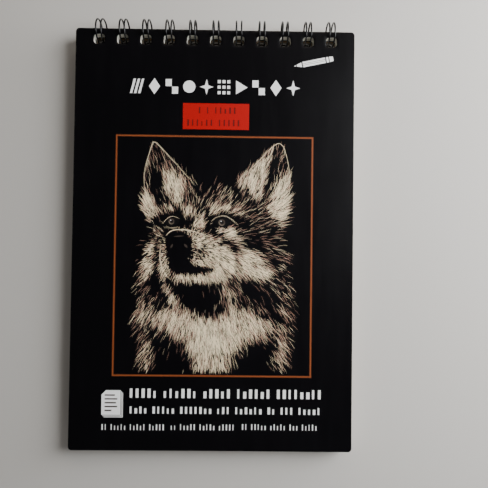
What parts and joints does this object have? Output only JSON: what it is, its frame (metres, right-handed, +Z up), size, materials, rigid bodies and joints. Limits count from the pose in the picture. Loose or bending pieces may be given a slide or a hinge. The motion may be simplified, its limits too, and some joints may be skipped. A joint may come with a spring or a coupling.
{
  "type": "wire-bound sketchbook",
  "caption": "Top-bound pocket sketchbook with a printed card cover, white, black and toned leaves, a board back and a twin-loop wire through square holes.",
  "frame": {"origin": "on the table, under the middle of the book's bounding box", "axes": "+X across the page to the right, +Y up the page to the wire, +Z up from the table. The pages are tipped 0.665 degrees about X, because the book leans on its loops."},
  "size_m": [0.1524, 0.2354, 0.0134],
  "materials": {
    "cover_card": "satin",
    "back_board": "matte",
    "white_paper": "matte",
    "black_paper": "matte",
    "tan_paper": "matte",
    "coated_wire": "gloss"
  },
  "bodies": {
    "front_cover": {"front_cover": "cover_card"},
    "white_sheet_01": {"white_sheet_01": "white_paper"},
    "white_sheet_02": {"white_sheet_02": "white_paper"},
    "white_sheet_03": {"white_sheet_03": "white_paper"},
    "white_sheet_04": {"white_sheet_04": "white_paper"},
    "white_sheet_05": {"white_sheet_05": "white_paper"},
    "white_sheet_06": {"white_sheet_06": "white_paper"},
    "white_sheet_07": {"white_sheet_07": "white_paper"},
    "white_sheet_08": {"white_sheet_08": "white_paper"},
    "white_sheet_09": {"white_sheet_09": "white_paper"},
    "white_sheet_10": {"white_sheet_10": "white_paper"},
    "white_sheet_11": {"white_sheet_11": "white_paper"},
    "white_sheet_12": {"white_sheet_12": "white_paper"},
    "white_sheet_13": {"white_sheet_13": "white_paper"},
    "white_sheet_14": {"white_sheet_14": "white_paper"},
    "white_sheet_15": {"white_sheet_15": "white_paper"},
    "white_sheet_16": {"white_sheet_16": "white_paper"},
    "white_sheet_17": {"white_sheet_17": "white_paper"},
    "white_sheet_18": {"white_sheet_18": "white_paper"},
    "white_sheet_19": {"white_sheet_19": "white_paper"},
    "white_sheet_20": {"white_sheet_20": "white_paper"},
    "white_sheet_21": {"white_sheet_21": "white_paper"},
    "white_sheet_22": {"white_sheet_22": "white_paper"},
    "white_sheet_23": {"white_sheet_23": "white_paper"},
    "white_sheet_24": {"white_sheet_24": "white_paper"},
    "white_sheet_25": {"white_sheet_25": "white_paper"},
    "white_sheet_26": {"white_sheet_26": "white_paper"},
    "white_sheet_27": {"white_sheet_27": "white_paper"},
    "white_sheet_28": {"white_sheet_28": "white_paper"},
    "white_sheet_29": {"white_sheet_29": "white_paper"},
    "white_sheet_30": {"white_sheet_30": "white_paper"},
    "black_sheet_01": {"black_sheet_01": "black_paper"},
    "black_sheet_02": {"black_sheet_02": "black_paper"},
    "black_sheet_03": {"black_sheet_03": "black_paper"},
    "black_sheet_04": {"black_sheet_04": "black_paper"},
    "black_sheet_05": {"black_sheet_05": "black_paper"},
    "black_sheet_06": {"black_sheet_06": "black_paper"},
    "black_sheet_07": {"black_sheet_07": "black_paper"},
    "black_sheet_08": {"black_sheet_08": "black_paper"},
    "black_sheet_09": {"black_sheet_09": "black_paper"},
    "black_sheet_10": {"black_sheet_10": "black_paper"},
    "tan_sheet_01": {"tan_sheet_01": "tan_paper"},
    "tan_sheet_02": {"tan_sheet_02": "tan_paper"},
    "tan_sheet_03": {"tan_sheet_03": "tan_paper"},
    "tan_sheet_04": {"tan_sheet_04": "tan_paper"},
    "tan_sheet_05": {"tan_sheet_05": "tan_paper"},
    "tan_sheet_06": {"tan_sheet_06": "tan_paper"},
    "tan_sheet_07": {"tan_sheet_07": "tan_paper"},
    "tan_sheet_08": {"tan_sheet_08": "tan_paper"},
    "tan_sheet_09": {"tan_sheet_09": "tan_paper"},
    "tan_sheet_10": {"tan_sheet_10": "tan_paper"},
    "back_cover": {"back_cover": "back_board"},
    "twin_loop_wire": {"twin_loop_wire": "coated_wire"}
  },
  "joints": [
    {"name": "open_front_cover", "type": "hinge", "parent": "white_sheet_01", "child": "front_cover", "pos_m": [0, 0.11105, 0.00668], "axis": [-1, 0, 0], "range_deg": [0, 180]},
    {"name": "turn_white_sheet_01", "type": "hinge", "parent": "white_sheet_02", "child": "white_sheet_01", "pos_m": [0, 0.11105, 0.00668], "axis": [-1, 0, 0], "range_deg": [0, 180]},
    {"name": "turn_white_sheet_16", "type": "hinge", "parent": "white_sheet_17", "child": "white_sheet_16", "pos_m": [0, 0.11105, 0.00668], "axis": [-1, 0, 0], "range_deg": [0, 180]},
    {"name": "turn_black_sheet_01", "type": "hinge", "parent": "black_sheet_02", "child": "black_sheet_01", "pos_m": [0, 0.11105, 0.00668], "axis": [-1, 0, 0], "range_deg": [0, 180]},
    {"name": "turn_tan_sheet_01", "type": "hinge", "parent": "tan_sheet_02", "child": "tan_sheet_01", "pos_m": [0, 0.11105, 0.00668], "axis": [-1, 0, 0], "range_deg": [0, 180]},
    {"name": "turn_tan_sheet_10", "type": "hinge", "parent": "back_cover", "child": "tan_sheet_10", "pos_m": [0, 0.11105, 0.00668], "axis": [-1, 0, 0], "range_deg": [0, 180]},
    {"name": "roll_wire", "type": "hinge", "parent": "back_cover", "child": "twin_loop_wire", "pos_m": [0, 0.11105, 0.00668], "axis": [1, 0, 0], "range_deg": [-20, 60]},
    {"name": "turn_white_sheet_02", "type": "hinge", "parent": "white_sheet_03", "child": "white_sheet_02", "pos_m": [0, 0.11105, 0.00668], "axis": [-1, 0, 0], "range_deg": [0, 180]},
    {"name": "turn_white_sheet_03", "type": "hinge", "parent": "white_sheet_04", "child": "white_sheet_03", "pos_m": [0, 0.11105, 0.00668], "axis": [-1, 0, 0], "range_deg": [0, 180]},
    {"name": "turn_white_sheet_04", "type": "hinge", "parent": "white_sheet_05", "child": "white_sheet_04", "pos_m": [0, 0.11105, 0.00668], "axis": [-1, 0, 0], "range_deg": [0, 180]},
    {"name": "turn_white_sheet_05", "type": "hinge", "parent": "white_sheet_06", "child": "white_sheet_05", "pos_m": [0, 0.11105, 0.00668], "axis": [-1, 0, 0], "range_deg": [0, 180]},
    {"name": "turn_white_sheet_06", "type": "hinge", "parent": "white_sheet_07", "child": "white_sheet_06", "pos_m": [0, 0.11105, 0.00668], "axis": [-1, 0, 0], "range_deg": [0, 180]},
    {"name": "turn_white_sheet_07", "type": "hinge", "parent": "white_sheet_08", "child": "white_sheet_07", "pos_m": [0, 0.11105, 0.00668], "axis": [-1, 0, 0], "range_deg": [0, 180]},
    {"name": "turn_white_sheet_08", "type": "hinge", "parent": "white_sheet_09", "child": "white_sheet_08", "pos_m": [0, 0.11105, 0.00668], "axis": [-1, 0, 0], "range_deg": [0, 180]},
    {"name": "turn_white_sheet_09", "type": "hinge", "parent": "white_sheet_10", "child": "white_sheet_09", "pos_m": [0, 0.11105, 0.00668], "axis": [-1, 0, 0], "range_deg": [0, 180]},
    {"name": "turn_white_sheet_10", "type": "hinge", "parent": "white_sheet_11", "child": "white_sheet_10", "pos_m": [0, 0.11105, 0.00668], "axis": [-1, 0, 0], "range_deg": [0, 180]},
    {"name": "turn_white_sheet_11", "type": "hinge", "parent": "white_sheet_12", "child": "white_sheet_11", "pos_m": [0, 0.11105, 0.00668], "axis": [-1, 0, 0], "range_deg": [0, 180]},
    {"name": "turn_white_sheet_12", "type": "hinge", "parent": "white_sheet_13", "child": "white_sheet_12", "pos_m": [0, 0.11105, 0.00668], "axis": [-1, 0, 0], "range_deg": [0, 180]},
    {"name": "turn_white_sheet_13", "type": "hinge", "parent": "white_sheet_14", "child": "white_sheet_13", "pos_m": [0, 0.11105, 0.00668], "axis": [-1, 0, 0], "range_deg": [0, 180]},
    {"name": "turn_white_sheet_14", "type": "hinge", "parent": "white_sheet_15", "child": "white_sheet_14", "pos_m": [0, 0.11105, 0.00668], "axis": [-1, 0, 0], "range_deg": [0, 180]},
    {"name": "turn_white_sheet_15", "type": "hinge", "parent": "white_sheet_16", "child": "white_sheet_15", "pos_m": [0, 0.11105, 0.00668], "axis": [-1, 0, 0], "range_deg": [0, 180]},
    {"name": "turn_white_sheet_17", "type": "hinge", "parent": "white_sheet_18", "child": "white_sheet_17", "pos_m": [0, 0.11105, 0.00668], "axis": [-1, 0, 0], "range_deg": [0, 180]},
    {"name": "turn_white_sheet_18", "type": "hinge", "parent": "white_sheet_19", "child": "white_sheet_18", "pos_m": [0, 0.11105, 0.00668], "axis": [-1, 0, 0], "range_deg": [0, 180]},
    {"name": "turn_white_sheet_19", "type": "hinge", "parent": "white_sheet_20", "child": "white_sheet_19", "pos_m": [0, 0.11105, 0.00668], "axis": [-1, 0, 0], "range_deg": [0, 180]},
    {"name": "turn_white_sheet_20", "type": "hinge", "parent": "white_sheet_21", "child": "white_sheet_20", "pos_m": [0, 0.11105, 0.00668], "axis": [-1, 0, 0], "range_deg": [0, 180]},
    {"name": "turn_white_sheet_21", "type": "hinge", "parent": "white_sheet_22", "child": "white_sheet_21", "pos_m": [0, 0.11105, 0.00668], "axis": [-1, 0, 0], "range_deg": [0, 180]},
    {"name": "turn_white_sheet_22", "type": "hinge", "parent": "white_sheet_23", "child": "white_sheet_22", "pos_m": [0, 0.11105, 0.00668], "axis": [-1, 0, 0], "range_deg": [0, 180]},
    {"name": "turn_white_sheet_23", "type": "hinge", "parent": "white_sheet_24", "child": "white_sheet_23", "pos_m": [0, 0.11105, 0.00668], "axis": [-1, 0, 0], "range_deg": [0, 180]},
    {"name": "turn_white_sheet_24", "type": "hinge", "parent": "white_sheet_25", "child": "white_sheet_24", "pos_m": [0, 0.11105, 0.00668], "axis": [-1, 0, 0], "range_deg": [0, 180]},
    {"name": "turn_white_sheet_25", "type": "hinge", "parent": "white_sheet_26", "child": "white_sheet_25", "pos_m": [0, 0.11105, 0.00668], "axis": [-1, 0, 0], "range_deg": [0, 180]},
    {"name": "turn_white_sheet_26", "type": "hinge", "parent": "white_sheet_27", "child": "white_sheet_26", "pos_m": [0, 0.11105, 0.00668], "axis": [-1, 0, 0], "range_deg": [0, 180]},
    {"name": "turn_white_sheet_27", "type": "hinge", "parent": "white_sheet_28", "child": "white_sheet_27", "pos_m": [0, 0.11105, 0.00668], "axis": [-1, 0, 0], "range_deg": [0, 180]},
    {"name": "turn_white_sheet_28", "type": "hinge", "parent": "white_sheet_29", "child": "white_sheet_28", "pos_m": [0, 0.11105, 0.00668], "axis": [-1, 0, 0], "range_deg": [0, 180]},
    {"name": "turn_white_sheet_29", "type": "hinge", "parent": "white_sheet_30", "child": "white_sheet_29", "pos_m": [0, 0.11105, 0.00668], "axis": [-1, 0, 0], "range_deg": [0, 180]},
    {"name": "turn_white_sheet_30", "type": "hinge", "parent": "black_sheet_01", "child": "white_sheet_30", "pos_m": [0, 0.11105, 0.00668], "axis": [-1, 0, 0], "range_deg": [0, 180]},
    {"name": "turn_black_sheet_02", "type": "hinge", "parent": "black_sheet_03", "child": "black_sheet_02", "pos_m": [0, 0.11105, 0.00668], "axis": [-1, 0, 0], "range_deg": [0, 180]},
    {"name": "turn_black_sheet_03", "type": "hinge", "parent": "black_sheet_04", "child": "black_sheet_03", "pos_m": [0, 0.11105, 0.00668], "axis": [-1, 0, 0], "range_deg": [0, 180]},
    {"name": "turn_black_sheet_04", "type": "hinge", "parent": "black_sheet_05", "child": "black_sheet_04", "pos_m": [0, 0.11105, 0.00668], "axis": [-1, 0, 0], "range_deg": [0, 180]},
    {"name": "turn_black_sheet_05", "type": "hinge", "parent": "black_sheet_06", "child": "black_sheet_05", "pos_m": [0, 0.11105, 0.00668], "axis": [-1, 0, 0], "range_deg": [0, 180]},
    {"name": "turn_black_sheet_06", "type": "hinge", "parent": "black_sheet_07", "child": "black_sheet_06", "pos_m": [0, 0.11105, 0.00668], "axis": [-1, 0, 0], "range_deg": [0, 180]},
    {"name": "turn_black_sheet_07", "type": "hinge", "parent": "black_sheet_08", "child": "black_sheet_07", "pos_m": [0, 0.11105, 0.00668], "axis": [-1, 0, 0], "range_deg": [0, 180]},
    {"name": "turn_black_sheet_08", "type": "hinge", "parent": "black_sheet_09", "child": "black_sheet_08", "pos_m": [0, 0.11105, 0.00668], "axis": [-1, 0, 0], "range_deg": [0, 180]},
    {"name": "turn_black_sheet_09", "type": "hinge", "parent": "black_sheet_10", "child": "black_sheet_09", "pos_m": [0, 0.11105, 0.00668], "axis": [-1, 0, 0], "range_deg": [0, 180]},
    {"name": "turn_black_sheet_10", "type": "hinge", "parent": "tan_sheet_01", "child": "black_sheet_10", "pos_m": [0, 0.11105, 0.00668], "axis": [-1, 0, 0], "range_deg": [0, 180]},
    {"name": "turn_tan_sheet_02", "type": "hinge", "parent": "tan_sheet_03", "child": "tan_sheet_02", "pos_m": [0, 0.11105, 0.00668], "axis": [-1, 0, 0], "range_deg": [0, 180]},
    {"name": "turn_tan_sheet_03", "type": "hinge", "parent": "tan_sheet_04", "child": "tan_sheet_03", "pos_m": [0, 0.11105, 0.00668], "axis": [-1, 0, 0], "range_deg": [0, 180]},
    {"name": "turn_tan_sheet_04", "type": "hinge", "parent": "tan_sheet_05", "child": "tan_sheet_04", "pos_m": [0, 0.11105, 0.00668], "axis": [-1, 0, 0], "range_deg": [0, 180]},
    {"name": "turn_tan_sheet_05", "type": "hinge", "parent": "tan_sheet_06", "child": "tan_sheet_05", "pos_m": [0, 0.11105, 0.00668], "axis": [-1, 0, 0], "range_deg": [0, 180]},
    {"name": "turn_tan_sheet_06", "type": "hinge", "parent": "tan_sheet_07", "child": "tan_sheet_06", "pos_m": [0, 0.11105, 0.00668], "axis": [-1, 0, 0], "range_deg": [0, 180]},
    {"name": "turn_tan_sheet_07", "type": "hinge", "parent": "tan_sheet_08", "child": "tan_sheet_07", "pos_m": [0, 0.11105, 0.00668], "axis": [-1, 0, 0], "range_deg": [0, 180]},
    {"name": "turn_tan_sheet_08", "type": "hinge", "parent": "tan_sheet_09", "child": "tan_sheet_08", "pos_m": [0, 0.11105, 0.00668], "axis": [-1, 0, 0], "range_deg": [0, 180]},
    {"name": "turn_tan_sheet_09", "type": "hinge", "parent": "tan_sheet_10", "child": "tan_sheet_09", "pos_m": [0, 0.11105, 0.00668], "axis": [-1, 0, 0], "range_deg": [0, 180]}
  ]
}
